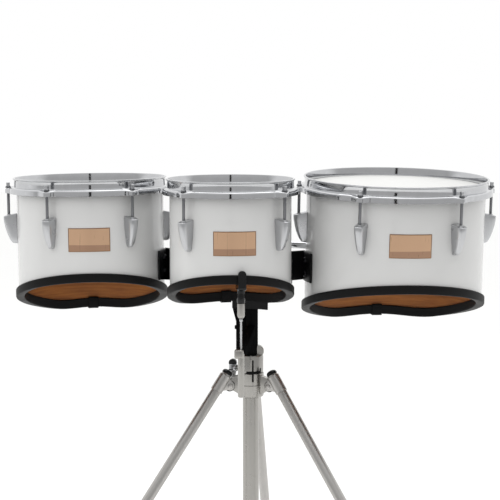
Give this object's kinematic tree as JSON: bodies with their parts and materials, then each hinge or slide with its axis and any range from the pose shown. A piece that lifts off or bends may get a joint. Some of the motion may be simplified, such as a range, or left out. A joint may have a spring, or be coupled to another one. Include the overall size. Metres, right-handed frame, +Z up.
{
  "type": "marching tenor drums",
  "caption": "Marching tenor drums with slant-cut white shells, chrome hoops and rubber edge guards, joined in a row and held on a folding tripod stand.",
  "frame": {"origin": "middle of the footprint's bounding box, on the floor that the feet stand on", "axes": "+Z up along the stand column, -Y towards the audience side where the lower edges are cut high, +X to the right seen from that side"},
  "size_m": [0.8512, 0.722, 0.9056],
  "materials": {
    "lacquer": "gloss white lacquer on maple ply, oiled inside",
    "drum_film": "coated white polyester film",
    "chrome": "bright chrome plate on steel and die castings",
    "edge_rubber": "satin black extruded rubber",
    "black_steel": "satin black powder coat",
    "rod_steel": "dark plated steel",
    "knob_plastic": "black glass-filled nylon"
  },
  "bodies": {
    "tripod": {"base_tube": "chrome", "spider": "chrome", "height_clamp": "chrome"},
    "leg_front_left": {"leg_front_left": "chrome"},
    "leg_front_right": {"leg_front_right": "chrome"},
    "leg_rear": {"leg_rear": "chrome"},
    "knob": {"clamp_knob": "knob_plastic"},
    "drums": {"post": "black_steel", "mount": "black_steel", "brace": "chrome", "left_bracket": "black_steel", "right_bracket": "black_steel", "steady_tube": "chrome", "left_shell": "lacquer", "left_head": "drum_film", "left_hoop": "chrome", "left_guard": "edge_rubber", "left_lug_1": "chrome", "left_lug_2": "chrome", "left_lug_3": "chrome", "left_lug_4": "chrome", "left_lug_5": "chrome", "left_lug_6": "chrome", "centre_shell": "lacquer", "centre_head": "drum_film", "centre_hoop": "chrome", "centre_guard": "edge_rubber", "centre_lug_1": "chrome", "centre_lug_2": "chrome", "centre_lug_3": "chrome", "centre_lug_4": "chrome", "right_shell": "lacquer", "right_head": "drum_film", "right_hoop": "chrome", "right_guard": "edge_rubber", "right_lug_1": "chrome", "right_lug_2": "chrome", "right_lug_3": "chrome", "right_lug_4": "chrome", "right_lug_5": "chrome", "right_lug_6": "chrome"},
    "steady": {"steady_screw": "rod_steel", "cradle": "edge_rubber"},
    "sleeve": {"steady_sleeve": "chrome"},
    "left_rod_1": {"left_rod_1": "rod_steel"},
    "left_rod_2": {"left_rod_2": "rod_steel"},
    "left_rod_3": {"left_rod_3": "rod_steel"},
    "left_rod_4": {"left_rod_4": "rod_steel"},
    "left_rod_5": {"left_rod_5": "rod_steel"},
    "left_rod_6": {"left_rod_6": "rod_steel"},
    "centre_rod_1": {"centre_rod_1": "rod_steel"},
    "centre_rod_2": {"centre_rod_2": "rod_steel"},
    "centre_rod_3": {"centre_rod_3": "rod_steel"},
    "centre_rod_4": {"centre_rod_4": "rod_steel"},
    "right_rod_1": {"right_rod_1": "rod_steel"},
    "right_rod_2": {"right_rod_2": "rod_steel"},
    "right_rod_3": {"right_rod_3": "rod_steel"},
    "right_rod_4": {"right_rod_4": "rod_steel"},
    "right_rod_5": {"right_rod_5": "rod_steel"},
    "right_rod_6": {"right_rod_6": "rod_steel"}
  },
  "joints": [
    {"name": "leg_front_left_fold", "type": "hinge", "parent": "tripod", "child": "leg_front_left", "pos_m": [-0.03528, -0.10713, 0.5275], "axis": [0.4067, -0.9135, 0], "range_deg": [0, 35.5]},
    {"name": "leg_front_right_fold", "type": "hinge", "parent": "tripod", "child": "leg_front_right", "pos_m": [0.03707, -0.11473, 0.5275], "axis": [0.5878, 0.809, 0], "range_deg": [0, 35.5]},
    {"name": "leg_rear_fold", "type": "hinge", "parent": "tripod", "child": "leg_rear", "pos_m": [0.00748, -0.04828, 0.5275], "axis": [-0.9945, 0.1045, 0], "range_deg": [0, 35.5]},
    {"name": "height_slide", "type": "slide", "parent": "tripod", "child": "drums", "axis": [0, 0, 1], "range_m": [-0.005, 0.15]},
    {"name": "clamp_knob_turn", "type": "hinge", "parent": "tripod", "child": "knob", "pos_m": [-0.02878, -0.0815, 0.55476], "axis": [-0.9659, 0.2588, 0], "continuous": true},
    {"name": "steady_spring", "type": "slide", "parent": "drums", "child": "steady", "axis": [0, 0, 1], "range_m": [-0.02, 0], "stiffness_N_per_m": 1500, "springref_m": 0.01},
    {"name": "steady_sleeve_turn", "type": "hinge", "parent": "steady", "child": "sleeve", "pos_m": [-0.01286, -0.31223, 0.6922], "axis": [0, 0, 1], "continuous": true},
    {"name": "left_rod_1_turn", "type": "hinge", "parent": "drums", "child": "left_rod_1", "pos_m": [-0.41669, -0.11353, 0.85013], "axis": [-0.0106, 0.0117, 0.9999], "continuous": true},
    {"name": "left_rod_2_turn", "type": "hinge", "parent": "drums", "child": "left_rod_2", "pos_m": [-0.33463, -0.22817, 0.85234], "axis": [-0.0106, 0.0117, 0.9999], "continuous": true},
    {"name": "left_rod_3_turn", "type": "hinge", "parent": "drums", "child": "left_rod_3", "pos_m": [-0.19431, -0.21441, 0.85368], "axis": [-0.0106, 0.0117, 0.9999], "continuous": true},
    {"name": "left_rod_4_turn", "type": "hinge", "parent": "drums", "child": "left_rod_4", "pos_m": [-0.13605, -0.08601, 0.8528], "axis": [-0.0106, 0.0117, 0.9999], "continuous": true},
    {"name": "left_rod_5_turn", "type": "hinge", "parent": "drums", "child": "left_rod_5", "pos_m": [-0.21811, 0.02863, 0.85058], "axis": [-0.0106, 0.0117, 0.9999], "continuous": true},
    {"name": "left_rod_6_turn", "type": "hinge", "parent": "drums", "child": "left_rod_6", "pos_m": [-0.35843, 0.01487, 0.84925], "axis": [-0.0106, 0.0117, 0.9999], "continuous": true},
    {"name": "centre_rod_1_turn", "type": "hinge", "parent": "drums", "child": "centre_rod_1", "pos_m": [-0.1051, -0.30307, 0.85616], "axis": [0, 0, 1], "continuous": true},
    {"name": "centre_rod_2_turn", "type": "hinge", "parent": "drums", "child": "centre_rod_2", "pos_m": [0.05776, -0.28882, 0.85616], "axis": [0, 0, 1], "continuous": true},
    {"name": "centre_rod_3_turn", "type": "hinge", "parent": "drums", "child": "centre_rod_3", "pos_m": [0.04351, -0.12596, 0.85616], "axis": [0, 0, 1], "continuous": true},
    {"name": "centre_rod_4_turn", "type": "hinge", "parent": "drums", "child": "centre_rod_4", "pos_m": [-0.11935, -0.14021, 0.85616], "axis": [0, 0, 1], "continuous": true},
    {"name": "right_rod_1_turn", "type": "hinge", "parent": "drums", "child": "right_rod_1", "pos_m": [0.08514, -0.15328, 0.85609], "axis": [0.0162, -0.0468, 0.9988], "continuous": true},
    {"name": "right_rod_2_turn", "type": "hinge", "parent": "drums", "child": "right_rod_2", "pos_m": [0.17927, -0.29027, 0.84815], "axis": [0.0162, -0.0468, 0.9988], "continuous": true},
    {"name": "right_rod_3_turn", "type": "hinge", "parent": "drums", "child": "right_rod_3", "pos_m": [0.34514, -0.27723, 0.84607], "axis": [0.0162, -0.0468, 0.9988], "continuous": true},
    {"name": "right_rod_4_turn", "type": "hinge", "parent": "drums", "child": "right_rod_4", "pos_m": [0.41689, -0.1272, 0.85193], "axis": [0.0162, -0.0468, 0.9988], "continuous": true},
    {"name": "right_rod_5_turn", "type": "hinge", "parent": "drums", "child": "right_rod_5", "pos_m": [0.32275, 0.00978, 0.85987], "axis": [0.0162, -0.0468, 0.9988], "continuous": true},
    {"name": "right_rod_6_turn", "type": "hinge", "parent": "drums", "child": "right_rod_6", "pos_m": [0.15688, -0.00326, 0.86195], "axis": [0.0162, -0.0468, 0.9988], "continuous": true}
  ]
}
